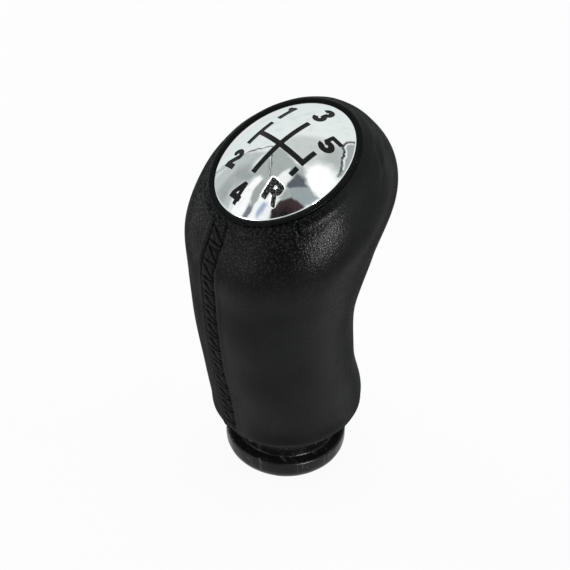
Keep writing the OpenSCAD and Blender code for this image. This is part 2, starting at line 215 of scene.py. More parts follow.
def grip_points(rows, power, angle):
    """Points round each row at the given angles; each row leans with its height."""
    lean = cap_tilt * np.clip((rows[:, :1] - 30) / 60, 0, 1) ** 1.3
    c, s = np.cos(angle), np.sin(angle)
    x = rows[:, 2:3] * np.sign(c) * np.abs(c) ** (2 / power)
    v = rows[:, 3:4] * np.sign(s) * np.abs(s) ** (2 / power)
    return np.stack([x, rows[:, 1:2] + v * np.cos(lean), rows[:, :1] + v * np.sin(lean)], 2)


def seam_angles(x, half_width, power):
    """Angle at which a point of a row lies x from the seam at the back."""
    return -math.pi / 2 + np.sign(x) * np.arcsin((np.abs(x) / half_width) ** (power / 2))


def facing(points):
    """Outward normals of a grid whose columns close round."""
    across = np.roll(points, -1, 1) - np.roll(points, 1, 1)
    along = np.gradient(points, axis=0)
    n = np.cross(across, along)
    return n / np.linalg.norm(n, axis=2, keepdims=True)


def smooth_step(x, low, high):
    """Rises softly from 0 to 1 between two values."""
    s = np.clip((x - low) / (high - low), 0, 1)
    return s * s * (3 - 2 * s)


# Runs of the lacing as the CAD has them: a cross stitch and a slanting stitch in each period
back_top = rim_z - sections[-1, 3] * math.sin(cap_tilt)
seam_low, seam_high = 19.1, back_top - 2.8 * thread_dia
periods = 14
rise = (seam_high - seam_low) / periods
reach = seam_w / 2 - 0.3 * thread_dia
stitches = []
for k in range(periods):
    z = seam_low + k * rise
    stitches.append((z, z))
    stitches.append((z + rise - 1.15 * thread_dia, z + 1.15 * thread_dia))


def seam_relief(x, h):
    """How far the leather stands out (or in) beside and under the lacing."""
    side = np.abs(x)
    near = np.full(np.broadcast(x, h).shape, 9.0)
    hole = near.copy()
    for left, right in stitches:
        place = np.clip((x / reach + 1) / 2, 0, 1)
        away = np.abs(h - (left + (right - left) * place))
        near = np.minimum(near, away * reach * 2 / math.hypot(2 * reach, right - left))
        for end, height in ((-reach, left), (reach, right)):
            hole = np.minimum(hole, np.hypot(x - end, h - height))
    live = smooth_step(h, seam_low - 2.5, seam_low - 0.6)
    live = live * (1 - smooth_step(h, seam_high + 0.6, seam_high + 2.2))
    band = 1 - smooth_step(side, 1.6, 2.15)
    depth = -0.20 * band - 0.40 * np.exp(-(((side - 2.1) / 0.26) ** 2))
    depth += 0.17 * np.exp(-(((side - 3.1) / 0.75) ** 2))
    stitched = band * (0.38 * smooth_step(near, 0.3, 1.0) - 0.42 * np.exp(-((near / 0.42) ** 2)))
    stitched -= 0.20 * np.exp(-((x / 0.2) ** 2)) * smooth_step(near, 0.3, 0.7)
    pucker = np.exp(-((hole / 0.9) ** 2)) * smooth_step(side, 1.9, 2.3)
    stitched = stitched - 0.38 * np.exp(-((hole / 0.36) ** 2)) - 0.16 * pucker
    return depth * (0.35 + 0.65 * live) + live * stitched


def add_piece(name, points, faces, materials):
    """A smooth mesh piece from points in millimetres."""
    mesh = bpy.data.meshes.new(name)
    if isinstance(faces, np.ndarray):
        faces = faces.tolist()
    mesh.from_pydata((np.asarray(points) / 1000).tolist(), [], faces)
    mesh.validate()
    for material in materials:
        mesh.materials.append(material)
    mesh.polygons.foreach_set("use_smooth", [True] * len(mesh.polygons))
    mesh.update()
    piece = bpy.data.objects.new(name, mesh)
    bpy.context.scene.collection.objects.link(piece)
    return piece


def grid_faces(rows, columns, closed_rows=False, closed_columns=True):
    """Four-sided faces of a grid, wound so that they face outwards."""
    i = np.arange(rows if closed_rows else rows - 1)[:, None]
    j = np.arange(columns if closed_columns else columns - 1)[None, :]
    a, b = i * columns + j, i * columns + (j + 1) % columns
    c, d = ((i + 1) % rows) * columns + (j + 1) % columns, ((i + 1) % rows) * columns + j
    return np.stack([a, b, c, d], 2).reshape(-1, 4)


# Rows: the underside, the roll of the heel, then up to the rim at an even spacing
t_fine = np.linspace(0, last_section, 1500)
fine_rows = grip_rows(t_fine)
walk = np.concatenate([[0], np.cumsum(np.hypot(np.diff(fine_rows[:, 0]), np.diff(fine_rows[:, 2])))])
body_t = np.interp(np.linspace(0, walk[-1], 262), walk, t_fine)
under_r = np.linspace(hole_r, heel_r - heel_roll, 9)[:-1]
roll = np.radians(np.linspace(90, 0, 12)[:-1])
heel_rows = len(under_r) + len(roll)
heel_middle = sections[0, 1]
under_middle = heel_middle * (under_r - hole_r) / (heel_r - heel_roll - hole_r)
roll_z, roll_r = heel_z + heel_roll * (1 - np.sin(roll)), heel_r - heel_roll * (1 - np.cos(roll))
rows = np.vstack([
    np.stack([np.full(len(under_r), heel_z), under_middle, under_r, under_r], 1),
    np.stack([roll_z, np.full(len(roll), heel_middle), roll_r, roll_r], 1),
    grip_rows(body_t),
])
power = np.concatenate([np.full(heel_rows, 2 + squareness), grip_power(body_t)])[:, None]
seam_x = np.linspace(-4.4, 4.4, 57)
band_angle = seam_angles(seam_x[None, :], rows[:, 2:3], power)
edge = band_angle[:, -1:]
# The columns stand closer where one short wrinkle will run
spots = np.linspace(0, 1, 2000)
crowd = np.cumsum(1 + 5 * np.exp(-(((spots - 0.14) / 0.012) ** 2)))
rest = np.interp(np.linspace(crowd[0], crowd[-1], 214), crowd, spots)[None, 1:-1]
angles = np.hstack([band_angle, edge + (2 * (math.pi / 2 - edge)) * rest])
skin = grip_points(rows, power, angles)
skin_n = facing(skin)
# The lowest ring and the rim keep the CAD's place; between them the stitches and the hand shape it
height = rows[:, :1]
seam_height = np.where(height < sections[0, 0], seam_low - 3, skin[:, len(seam_x) // 2, 2][:, None])
relief = np.zeros(skin.shape[:2])
relief[:, : len(seam_x)] = seam_relief(seam_x[None, :], seam_height)
turn = np.where(angles > math.pi, angles - 2 * math.pi, angles)
relief += (
    0.07 * np.sin(2 * turn + 0.11 * height) * np.sin(0.17 * height + 1.3)
    + 0.05 * np.sin(5 * turn - 0.23 * height)
)
relief += 0.035 * np.sin(9 * turn + 0.31 * height + 2 * np.sin(3 * turn))
row_number, last_row = np.arange(len(rows)), len(rows) - 1
ends = smooth_step(row_number, 0, 9) * (1 - smooth_step(row_number, last_row - 8, last_row))
# The ring's lip presses the edge down, so the leather puffs up a little outside it
to_rim = np.linalg.norm(skin - skin[-1], axis=2)
puff = 0.28 * np.exp(-(((to_rim - 2.1) / 1.0) ** 2)) - 0.08 * np.exp(-((to_rim / 0.6) ** 2))
puff *= 1 + 0.2 * np.sin(11 * turn) * np.sin(4 * turn + 1)
# One short wrinkle runs down from the ring, and two shallow folds cross the shoulder
wrinkle = 0.12 * np.exp(-(((turn + 0.553) / 0.02) ** 2)) - 0.75 * np.exp(-(((turn + 0.523) / 0.012) ** 2))
puff += wrinkle * smooth_step(to_rim, 0.3, 0.8) * (1 - smooth_step(to_rim, 2.6, 4.2))
for spot, lean, long in ((0.42, 0.05, 3.0), (0.72, -0.08, 2.4)):
    aside = (turn - spot - lean * (to_rim - 5)) / 0.05
    puff -= 0.16 * np.exp(-(aside**2)) * np.exp(-(((to_rim - 5) / long) ** 2))
head_z = 60
relief = relief * ends[:, None] + puff * (height > head_z)
face = skin + relief[:, :, None] * skin_n
# Under the ring's lip the edge turns in; the back of the leather lies on the core
tuck = [
    skin[-1] + skin_n[-1] * -deep + (skin[-1] - cap_middle) * -inwards
    for deep, inwards in ((0.12, 0.012), (0.3, 0.03))
]
back_rows = np.linspace(len(rows) - 1, 0, 34).astype(int)
lining = skin[back_rows] - leather_t * skin_n[back_rows]
sleeve_points = np.concatenate([face, np.array(tuck), lining])
sleeve_faces = grid_faces(len(sleeve_points), sleeve_points.shape[1], closed_rows=True)

# Calf leather: small pebbles, deeper pores, and fine lines that run down from the ring
grain, grain_in, grain_out = start_group(
    "leather grain", [("Pebble", 1550.0), ("Lines", 0.5)], ["Height", "Shade"]
)
place = place_in(grain)
drift = noise(grain, place, 600, 2).node.outputs["Color"]
cells = grain.nodes.new("ShaderNodeTexVoronoi")
put(cells, "Vector", reckon(grain, "MULTIPLY_ADD", drift, (0.0003, 0.0003, 0.0003), place, "VectorMath"))
put(cells, "Scale", grain_in.outputs["Pebble"])
put(cells, "Randomness", 0.75)
pebble = spread(grain, cells.outputs["Distance"], 0.22, 0.62, 1, 0)
pores = spread(grain, noise(grain, place, 2600, 2), 0.55, 0.7, 0, 1)
fine_lines = noise(grain, stretched(grain, place, (1350, 1350, 420)), 1, 3, 0.6)
lines = reckon(grain, "MULTIPLY", spread(grain, fine_lines, 0.52, 0.66, 0, 1), grain_in.outputs["Lines"])
soft = noise(grain, place, 90, 3)
total = reckon(grain, "SUBTRACT", reckon(grain, "MULTIPLY_ADD", pores, -0.35, pebble), lines)
put(grain_out, "Height", reckon(grain, "MULTIPLY_ADD", soft, 0.8, total))
put(grain_out, "Shade", soft)

leather, tree, shader = start_material("black leather")
hide = tree.nodes.new("ShaderNodeGroup")
hide.node_tree = grain
where = tree.nodes.new("ShaderNodeSeparateXYZ")
put(where, 0, place_in(tree))
put(hide, "Lines", spread(tree, where.outputs["Z"], 0.055, 0.088, 0.0, 0.5))
cloudy = spread(tree, hide.outputs["Shade"], 0.35, 0.68, 0, 1)
dye_and_painted_highlight = tint(tree, cloudy, (0.0068, 0.0070, 0.0073), (0.0112, 0.0115, 0.0118))
# The base colour gets painted shade in the furrows and a painted highlight on the pebble tops. Both show
# on the upper head only, and fade out towards the waist and the front of the head
unworn_and_painted_shading = spread(tree, where.outputs["Y"], -0.0085, 0.0005, 1, 0.12)
painted_shading_on_head = reckon(tree, "MULTIPLY", spread(tree, where.outputs["Z"], 0.068, 0.084, 0, 1), unworn_and_painted_shading)
# Painted shade darkens the furrows; a painted highlight lightens the pebble tops
painted_furrow_shade = reckon(tree, "MULTIPLY", spread(tree, hide.outputs["Height"], 0.6, 0.95, 1.0, 0), painted_shading_on_head)
painted_pebble_highlight = reckon(tree, "MULTIPLY", spread(tree, hide.outputs["Height"], 0.8, 1.25, 0, 1), painted_shading_on_head)
dye_and_painted_highlight = tint(tree, painted_pebble_highlight, dye_and_painted_highlight, (0.0152, 0.0156, 0.016))
put(shader, "Base Color", tint(tree, painted_furrow_shade, dye_and_painted_highlight, (0.0016, 0.0016, 0.0018)))
# Its shine is duller where it is seen at a low glance, so that no window burns out at the edge
glance = tree.nodes.new("ShaderNodeLayerWeight").outputs["Facing"]
polish = spread(tree, hide.outputs["Height"], 0.4, 1.3, 0.35, 0.22)
dulling = spread(tree, glance, 0.5, 0.72, 0, 0.5)
put(shader, "Roughness", reckon(tree, "ADD", polish, dulling))
put(shader, "Specular IOR Level", 0.055)
# The grain is flatter where the hand has polished it
depth = reckon(tree, "MULTIPLY", spread(tree, where.outputs["Z"], 0.054, 0.086, 0, 1), unworn_and_painted_shading)
bumped(tree, shader, hide.outputs["Height"], spread(tree, depth, 0, 1, 0.14, 0.78), 0.000048)

sleeve = add_piece("leather_sleeve", sleeve_points.reshape(-1, 3), sleeve_faces, [leather])
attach(sleeve, "root")
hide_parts("leather_cover")

# Lacing thread
# One black twisted polyester thread, 0.8 mm thick, laced through both edges of the leather by
# hand. Each run dips into its holes, and the loose end hangs a few millimetres below the heel.


def seam_line(x, h, out):
    """A point over the seam band at a height on the seam line, moved out from the leather."""
    t = np.interp(h, skin[heel_rows:, len(seam_x) // 2, 2], body_t)
    here, above = grip_rows(np.array([t])), grip_rows(np.array([t + 0.02]))
    square = np.array([[2 + squareness]])
    p, q, r = (
        grip_points(row, square, seam_angles(np.array([[across]]), row[:, 2:3], square))[0, 0]
        for row, across in ((here, x), (above, x), (here, x + 0.1))
    )
    normal = np.cross(r - p, q - p)
    return p + out * normal / np.linalg.norm(normal)


def twisted(path, radius, twist_length, sides=14, plies=3):
    """A thread of twisted plies along a path: rings whose outline has one swelling for each ply."""
    path = np.asarray(path, float)
    along = np.gradient(path, axis=0)
    along /= np.linalg.norm(along, axis=1, keepdims=True)
    side = np.cross(along, [0.13, -1.0, 0.21])
    side /= np.linalg.norm(side, axis=1, keepdims=True)
    up = np.cross(side, along)
    walked = np.concatenate([[0], np.cumsum(np.linalg.norm(np.diff(path, axis=0), axis=1))])
    around = np.linspace(0, 2 * math.pi, sides, endpoint=False)[None, :]
    lay = plies * (around - 2 * math.pi * walked[:, None] / twist_length)
    size = radius * (0.86 + 0.14 * np.abs(np.cos(lay / 2)) ** 0.7)
    outwards = np.cos(around)[..., None] * side[:, None] + np.sin(around)[..., None] * up[:, None]
    return path[:, None] + size[..., None] * outwards


thread_points, thread_faces, used = [], [], 0


def lay_thread(path):
    """Adds one run of thread, closed at both ends."""
    global used
    rings = twisted(path, thread_dia / 2, twist_length=2.6)
    rows_n, sides = rings.shape[:2]
    thread_points.append(rings.reshape(-1, 3))
    thread_faces.extend((grid_faces(rows_n, sides)[:, ::-1] + used).tolist())
    thread_faces.append([used + s for s in range(sides)])
    thread_faces.append([used + (rows_n - 1) * sides + s for s in reversed(range(sides))])
    used += rows_n * sides


random = np.random.default_rng(7)
across = np.linspace(-1, 1, 44)
dip = np.abs(across) ** 7 * 1.05
for left, right in stitches:
    slack = 0.05 * random.random()
    lay_thread([
        seam_line(s * reach * 1.02, left + (right - left) * (s + 1) / 2, 0.04 + slack - d)
        for s, d in zip(across, dip)
    ])
tail = np.array([
    seam_line(-1.75, 19.2, -0.3), seam_line(-2.0, 18.4, 0.4),
    [-2.3, -18.4, 16.0], [-2.6, -16.6, 14.0], [-3.0, -14.0, 12.4], [-3.1, -13.2, 10.4],
])
steps = np.linspace(0, len(tail) - 1, 60)
rounded = [np.convolve(np.pad(tail[:, a], 1, "edge"), [0.2, 0.6, 0.2], "valid") for a in range(3)]
lay_thread(np.stack([np.interp(steps, np.arange(len(tail)), line) for line in rounded], 1))

thread_stuff, tree, shader = start_material("black thread")
fibre = noise(tree, stretched(tree, place_in(tree), (5200, 2600, 5200)), 1, 2)
put(shader, "Base Color", tint(tree, fibre, (0.003, 0.003, 0.0033), (0.010, 0.010, 0.0105)))
put(shader, "Roughness", spread(tree, fibre, 0.3, 0.7, 0.5, 0.7))
put(shader, "Specular IOR Level", 0.08)
put(shader, "Sheen Weight", 0.03)
bumped(tree, shader, fibre, 0.5, 0.00005)
lacing = add_piece("lacing_thread", np.concatenate(thread_points), thread_faces, [thread_stuff])
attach(lacing, "root")
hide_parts("seam_thread")

# Ring round the cap
# A moulded oval ring in polished black. Its rounded lip covers the leather's edge, and its ledge
# inside carries the cap. Four pegs press it into the core.

cap_w, cap_l, cap_rise = 30.8, 36.6, 5.8
around_oval = 224


def on_cap(points):
    """Points of the cap's own frame, moved to the cap's place and lean."""
    p = np.asarray(points, float)
    c, s = math.cos(cap_tilt), math.sin(cap_tilt)
    leaning = [p[..., 0], p[..., 1] * c - p[..., 2] * s, p[..., 1] * s + p[..., 2] * c]
    return np.stack(leaning, -1) + cap_middle


def oval(out):
    """Points of the cap's outline, moved outwards."""
    a = np.linspace(0, 2 * math.pi, around_oval, endpoint=False)
    n = np.stack([cap_l * np.cos(a), cap_w * np.sin(a)], 1)
    n /= np.linalg.norm(n, axis=1, keepdims=True)
    return np.stack([cap_w / 2 * np.cos(a), cap_l / 2 * np.sin(a)], 1) + out * n


# Its section as pairs of distance from the cap's outline and height
lip = [
    (0.8 + 0.7 * math.cos(a) * (1 if math.cos(a) > 0 else 0.97), -0.14 + 0.24 * math.sin(a))
    for a in np.linspace(0, math.pi, 17)
]
ring_profile = (
    [(0.35, -2.8), (0.35, -0.4), (1.3, -0.38), (1.44, -0.3)] + lip
    + [(0.12, -0.3), (0.12, -1.6), (-2.2, -1.6), (-2.2, -2.8)]
)
ring_rings = on_cap([np.column_stack([oval(out), np.full(around_oval, h)]) for out, h in ring_profile])
ring_faces = grid_faces(len(ring_profile), around_oval, closed_rows=True)
ring_plastic = plastic(
    "satin black", (0.0018, 0.0018, 0.002), (0.003, 0.003, 0.0034), 0.24, 0.34, 900.0, 0.4, 0.12,
    (0.03, 0.03, 0.03), shine=0.06,
)
ring = add_piece("cap_ring", ring_rings.reshape(-1, 3), ring_faces, [ring_plastic])
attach(ring, "root")
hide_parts("cap_bezel")

# Plated cap
# A moulded dome with bright plating. The shift gate and its plain numbers are engraved, with
# bevelled walls and black enamel on the floor. Hooks hold it under the ring's ledge.

line_w = 1.17
engraving = 0.14
bevel = 0.1
step = 0.05
field_u, field_v = 13.5, 17.5
grid_u, grid_v = np.meshgrid(np.arange(-field_u, field_u, step), np.arange(-field_v, field_v, step))


def bar(a, b, width=line_w):
    """Distance from a straight stroke with square ends."""
    a, b = np.array(a), np.array(b)
    d = b - a
    long = np.hypot(*d)
    d = d / long
    along = (grid_u - a[0]) * d[0] + (grid_v - a[1]) * d[1] - long / 2
    aside = (grid_u - a[0]) * -d[1] + (grid_v - a[1]) * d[0]
    p, q = np.abs(along) - long / 2, np.abs(aside) - width / 2
    return np.hypot(np.maximum(p, 0), np.maximum(q, 0)) + np.minimum(np.maximum(p, q), 0)


def bow(middle, radius, start, end, width=line_w, squash=1.0):
    """Distance from a round stroke that turns from one angle to another, in degrees."""
    u, v = (grid_u - middle[0]) / squash, grid_v - middle[1]
    half = math.radians(abs(end - start)) / 2
    turned = np.arctan2(v, u) - math.radians((start + end) / 2)
    turned = np.abs((turned + math.pi) % (2 * math.pi) - math.pi)
    r = np.hypot(u, v)
    ring_part = np.abs(r - radius) - width / 2
    past = r * np.sin(np.minimum(turned - half, math.pi / 2))
    beyond = np.where(turned > half, past, -1.0)
    return np.maximum(ring_part, beyond)


def glyph(*strokes):
    """One sign out of several strokes."""
    return np.minimum.reduce(strokes)


def filled(*corners):
    """Distance from a filled shape with straight sides, less than zero inside it."""
    nearest, inside = np.full(grid_u.shape, 99.0), np.zeros(grid_u.shape, bool)
    for (x0, y0), (x1, y1) in zip(corners, corners[1:] + corners[:1]):
        ex, ey = x1 - x0, y1 - y0 + 1e-9
        s = np.clip(((grid_u - x0) * ex + (grid_v - y0) * ey) / (ex * ex + ey * ey), 0, 1)
        nearest = np.minimum(nearest, np.hypot(grid_u - x0 - s * ex, grid_v - y0 - s * ey))
        inside ^= ((y0 > grid_v) != (y1 > grid_v)) & (grid_u < x0 + (grid_v - y0) * ex / ey)
    return np.where(inside, -nearest, nearest)


gate = glyph(
    bar((-7.7, -3.4), (-7.7, 4.3)), bar((-7.7, 0.45), (7.4, 0.45)), bar((-0.06, -8.5), (-0.1, 9.25)),
    bar((7.42, -0.15), (7.42, 4.3), 1.0), bar((7.47, -3.55), (7.47, -1.4), 1.05),
)
one = filled(
    (-9.4, 10.6), (-9.25, 10.95), (-7.9, 11.4), (-7.1, 11.35), (-7.05, 6.25), (-8.3, 6.25),
    (-8.3, 9.6), (-9.2, 10.25),
)
three = glyph(
    bow((-0.37, 14.85), 0.9, 165, -90, 1.1, 1.06), bow((-0.33, 12.52), 0.95, 95, -168, 1.1, 1.08)
)
five = glyph(
    bar((6.4, 10.3), (9.3, 10.3), 0.9), bar((6.75, 10.6), (6.6, 8.4), 0.85),
    bow((7.6, 7.5), 1.0, 145, -160, 1.1, 1.18),
    filled((5.65, 7.35), (6.6, 7.4), (6.95, 6.8), (6.6, 6.2), (6.0, 6.6)),
)
two = glyph(
    bow((-7.62, -7.0), 0.98, 178, -36, 1.1, 1.02), bar((-6.75, -7.4), (-8.65, -9.7), 1.1),
    bar((-9.1, -9.95), (-6.15, -9.95), 1.15),
    filled((-8.95, -6.5), (-8.0, -6.5), (-8.0, -7.35), (-8.9, -7.35)),
)
four = np.maximum(
    filled(
        (-0.15, -11.2), (0.75, -11.25), (0.8, -14.35), (1.25, -14.35), (1.2, -15.45), (0.85, -15.5),
        (0.9, -16.4), (0.05, -16.4), (0.05, -15.5), (-1.85, -15.5), (-1.8, -14.45),
    ),
    -filled((0.0, -13.0), (0.0, -14.35), (-0.75, -14.35)),
)
reverse = np.maximum(
    filled(
        (4.7, -6.65), (5.2, -6.4), (7.9, -6.4), (8.45, -6.75), (8.65, -7.9), (8.5, -8.6),
        (8.1, -9.15), (9.25, -11.1), (9.1, -11.5), (8.2, -11.5), (7.2, -9.7), (6.4, -9.5),
        (6.5, -11.4), (5.4, -11.5), (5.15, -11.2),
    ),
    -filled((6.3, -7.6), (6.9, -7.4), (7.3, -7.8), (7.1, -8.3), (6.5, -8.4)),
)
# The cutter went round R with a wider slope than round the rest
reverse = np.where(reverse > 0, reverse * 0.4, reverse)
sign = glyph(gate, one, three, five, two, four, reverse)
middle = sign[1:-1, 1:-1]
for _ in range(4):
    beside = sign[2:, 1:-1] + sign[:-2, 1:-1] + sign[1:-1, 2:] + sign[1:-1, :-2]
    middle += 0.125 * (beside - 4 * middle)


def outlines(field, level):
    """Closed outlines where a field on the grid crosses a level, as lists of points."""
    f = field - level
    inside = f < 0
    cells = inside[:-1, :-1].astype(int) + 2 * inside[:-1, 1:] + 4 * inside[1:, 1:] + 8 * inside[1:, :-1]
    edges_of = {
        1: [(3, 0)], 2: [(0, 1)], 3: [(3, 1)], 4: [(1, 2)], 5: [(3, 0), (1, 2)], 6: [(0, 2)], 7: [(3, 2)],
        8: [(2, 3)], 9: [(2, 0)], 10: [(0, 1), (2, 3)], 11: [(2, 1)], 12: [(1, 3)], 13: [(1, 0)], 14: [(0, 3)],
    }
    points, following = {}, {}

    def crossing(i, j, side):
        """Where the level crosses one side of a cell, named by the side's two ends."""
        ends = (
            ((i, j), (i, j + 1)), ((i, j + 1), (i + 1, j + 1)), ((i + 1, j), (i + 1, j + 1)), ((i, j), (i + 1, j)),
        )[side]
        if ends not in points:
            first, second = ends
            s = f[first] / (f[first] - f[second])
            points[ends] = tuple(g[first] + s * (g[second] - g[first]) for g in (grid_u, grid_v))
        return ends

    for i, j in np.argwhere((cells > 0) & (cells < 15)):
        for first, second in edges_of[cells[i, j]]:
            following[crossing(i, j, first)] = crossing(i, j, second)
    loops = []
    while following:
        start, now = next(iter(following.items()))
        loop = [start]
        del following[start]
        while now != start and now in following:
            loop.append(now)
            now = following.pop(now)
        loops.append(np.array([points[p] for p in loop]))
    return loops


def even(loop, spacing):
    """The same closed outline with evenly spaced points."""
    closed = np.vstack([loop, loop[:1]])
    walked = np.concatenate([[0], np.cumsum(np.linalg.norm(np.diff(closed, axis=0), axis=1))])
    places = np.linspace(0, walked[-1], max(8, int(walked[-1] / spacing)) + 1)[:-1]
    return np.stack([np.interp(places, walked, closed[:, 0]), np.interp(places, walked, closed[:, 1])], 1)


def sign_at(p):
    """The distance field at points, between the grid's values."""
    x = np.clip((p[:, 0] - grid_u[0, 0]) / step, 0, grid_u.shape[1] - 1.001)
    y = np.clip((p[:, 1] - grid_v[0, 0]) / step, 0, grid_u.shape[0] - 1.001)
    i, j = y.astype(int), x.astype(int)
    s, t = x - j, y - i
    lower = sign[i, j] * (1 - s) + sign[i, j + 1] * s
    upper = sign[i + 1, j] * (1 - s) + sign[i + 1, j + 1] * s
    outside = (np.abs(p[:, 0]) > field_u - 0.1) | (np.abs(p[:, 1]) > field_v - 0.1)
    return np.where(outside, 2.0, lower * (1 - t) + upper * t)


rim_share = 0.985
plan = [oval(0) * rim_share]
borders = [[(i, (i + 1) % around_oval) for i in range(around_oval)]]
count = around_oval
for level in (bevel, 0.0):
    for loop in outlines(sign, level):
        if len(loop) < 12:
            continue
        loop = even(loop, 0.13)
        borders.append([(count + i, count + (i + 1) % len(loop)) for i in range(len(loop))])
        plan.append(loop)
        count += len(loop)
# Staggered points fill the plain face, and keep clear of the engraved edges
half_w, half_l = cap_w / 2, cap_l / 2
mesh_u, mesh_v = np.meshgrid(np.arange(-half_w, half_w, 0.46), np.arange(-half_l, half_l, 0.4))
mesh_u = mesh_u + 0.23 * (np.arange(mesh_u.shape[0]) % 2)[:, None]
filler = np.stack([mesh_u.ravel(), mesh_v.ravel()], 1)
filler = filler[(np.hypot(filler[:, 0] / half_w, filler[:, 1] / half_l) < rim_share - 0.018)]
distance = sign_at(filler)
filler = filler[(distance > bevel + 0.1) | (distance < -0.12)]
plan = np.vstack(plan + [filler])
flat_points, _, flat_faces, *_ = delaunay_2d_cdt(
    [tuple(p) for p in plan], [e for b in borders for e in b], [], 0, 1e-5
)
flat_points = np.array([tuple(p) for p in flat_points])
flat_faces = np.array(flat_faces)


def dome(p):
    """Height of the cap's domed face."""
    return cap_rise * (1 - (p[:, 0] / half_w) ** 2 - (p[:, 1] / half_l) ** 2)


sunk = engraving * np.clip(1 - sign_at(flat_points) / bevel, 0, 1)
cap_top = np.column_stack([flat_points, dome(flat_points) - sunk])
middles = flat_points[flat_faces].mean(1)
depth_there = sign_at(middles)
corners = flat_points[flat_faces]
area = np.cross(corners[:, 1] - corners[:, 0], corners[:, 2] - corners[:, 0])
flat_faces[area < 0] = flat_faces[area < 0][:, ::-1]
# The rounded edge and the skirt below it continue the rim's points
edge_profile = [(0.992, 0.07), (0.997, 0.02), (0.9995, -0.05), (1.0, -0.15), (1.0, -1.4), (0.93, -1.4), (0.93, -0.2)]
edge_rings = [np.column_stack([oval(0) * s, np.full(around_oval, h)]) for s, h in edge_profile]
once_round = np.arange(around_oval)
edge_index = np.vstack(
    [once_round] + [len(cap_top) + k * around_oval + once_round for k in range(len(edge_profile))]
)
wrap = np.roll(edge_index, -1, 1)
edge_faces = np.stack([edge_index[:-1], edge_index[1:], wrap[1:], wrap[:-1]], 2).reshape(-1, 4)

chrome, tree, shader = start_material("bright plating")
put(shader, "Metallic", 1.0)
place = place_in(tree)
haze = noise(tree, place, 150, 3)
wipes = noise(tree, stretched(tree, place, (2200, 120, 400), (0.3, 0, 0.8)), 1, 2)
put(shader, "Base Color", tint(tree, haze, (0.80, 0.805, 0.81), (0.86, 0.865, 0.87)))
smear = reckon(tree, "MULTIPLY", haze, wipes)
put(shader, "Roughness", spread(tree, smear, 0.15, 0.4, 0.035, 0.075))
bumped(tree, shader, noise(tree, place, 95, 1), 0.05, 0.0004)


def black_enamel(name, lost, pale):
    """Dull black enamel with pin holes; lost is where they start, from 0 to 1."""
    material, tree, shader = start_material(name)
    spots = noise(tree, place_in(tree), 2600, 2, 0.6)
    holes = spread(tree, spots, lost, lost + 0.12, 0, 1)
    put(shader, "Base Color", tint(tree, holes, (0.003, 0.003, 0.0034), pale))
    put(shader, "Roughness", spread(tree, spots, 0.3, 0.7, 0.35, 0.5))
    put(shader, "Specular IOR Level", 0.15)
    bumped(tree, shader, spots, 0.35, 0.00008)
    return material


cap_points = on_cap(np.vstack([cap_top] + edge_rings))
cap_faces = flat_faces.tolist() + edge_faces.tolist()
enamel = black_enamel("black enamel", 0.62, (0.02, 0.02, 0.021))
worn_enamel = black_enamel("worn enamel", 0.52, (0.12, 0.12, 0.12))
bare, tree, shader = start_material("cut edge")
put(shader, "Metallic", 1.0)
brush = noise(tree, place_in(tree), 3000, 1)
put(shader, "Base Color", tint(tree, brush, (0.9, 0.9, 0.9), (1.0, 1.0, 1.0)))
put(shader, "Roughness", spread(tree, brush, 0.3, 0.7, 0.4, 0.6))
cap = add_piece("plated_cap", cap_points, cap_faces, [chrome, enamel, worn_enamel, bare])
# R has lost some enamel, and the cut slope round it is bare
at_reverse = (middles[:, 0] > 4) & (middles[:, 1] < -5.5) & (middles[:, 0] < 10.5)
coating = np.zeros(len(cap_faces), dtype=np.int32)
floor_coating, slope_coating = np.where(at_reverse, 2, 1), np.where(at_reverse, 3, 1)
slope_coating = np.where(depth_there < bevel, slope_coating, 0)
coating[: len(flat_faces)] = np.where(depth_there < 0, floor_coating, slope_coating)
cap.data.polygons.foreach_set("material_index", coating)
# The mirror face takes its normals from the dome itself, so no reflection shows the triangles.
# The cut slopes are flat, and the skirt keeps its own smooth normals
slope_u = 2 * cap_rise * flat_points[:, 0] / half_w**2
slope_v = 2 * cap_rise * flat_points[:, 1] / half_l**2
dome_n = np.column_stack([slope_u, slope_v, np.ones(len(flat_points))])
lean_matrix = np.array([
    [1, 0, 0],
    [0, math.cos(cap_tilt), -math.sin(cap_tilt)],
    [0, math.sin(cap_tilt), math.cos(cap_tilt)],
])
dome_n = (dome_n / np.linalg.norm(dome_n, axis=1, keepdims=True)) @ lean_matrix.T
loop_normals = np.zeros((len(cap.data.loops), 3))
level_faces = (depth_there > bevel) | (depth_there < 0)
for polygon, is_level in zip(cap.data.polygons, level_faces):
    for loop_index in polygon.loop_indices:
        vertex = cap.data.loops[loop_index].vertex_index
        loop_normals[loop_index] = dome_n[vertex] if is_level else polygon.normal
cap.data.normals_split_custom_set(loop_normals.tolist())
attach(cap, "root")
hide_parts("shift_cap")

# Bush and spring ring
# The bush grips the lever with four fingers, moulded in natural grey plastic. An open ring of
# spring wire squeezes them. Both sit inside the core and keep their CAD meshes.

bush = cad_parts["lever_bush"]
bush.data.materials.clear()
bush.data.materials.append(plastic(
    "grey plastic", (0.07, 0.07, 0.068), (0.12, 0.12, 0.115), 0.45, 0.6, 1400.0, 0.6, 0.4,
    (0.22, 0.22, 0.21),
))
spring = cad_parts["spring_ring"]
spring.data.materials.clear()
wire, tree, shader = start_material("spring wire")
put(shader, "Metallic", 1.0)
drawn = noise(tree, stretched(tree, place_in(tree), (900, 900, 5000)), 1, 2)
put(shader, "Base Color", tint(tree, drawn, (0.32, 0.32, 0.31), (0.52, 0.52, 0.52)))
put(shader, "Roughness", spread(tree, drawn, 0.3, 0.7, 0.22, 0.4))
spring.data.materials.append(wire)

# Gaiter collar
# A moulded collar in glossy black plastic: a rounded flange, the neck that the gaiter is tied
# to, and a spigot that snaps into the core. The mould left a parting line, and use left scuffs.

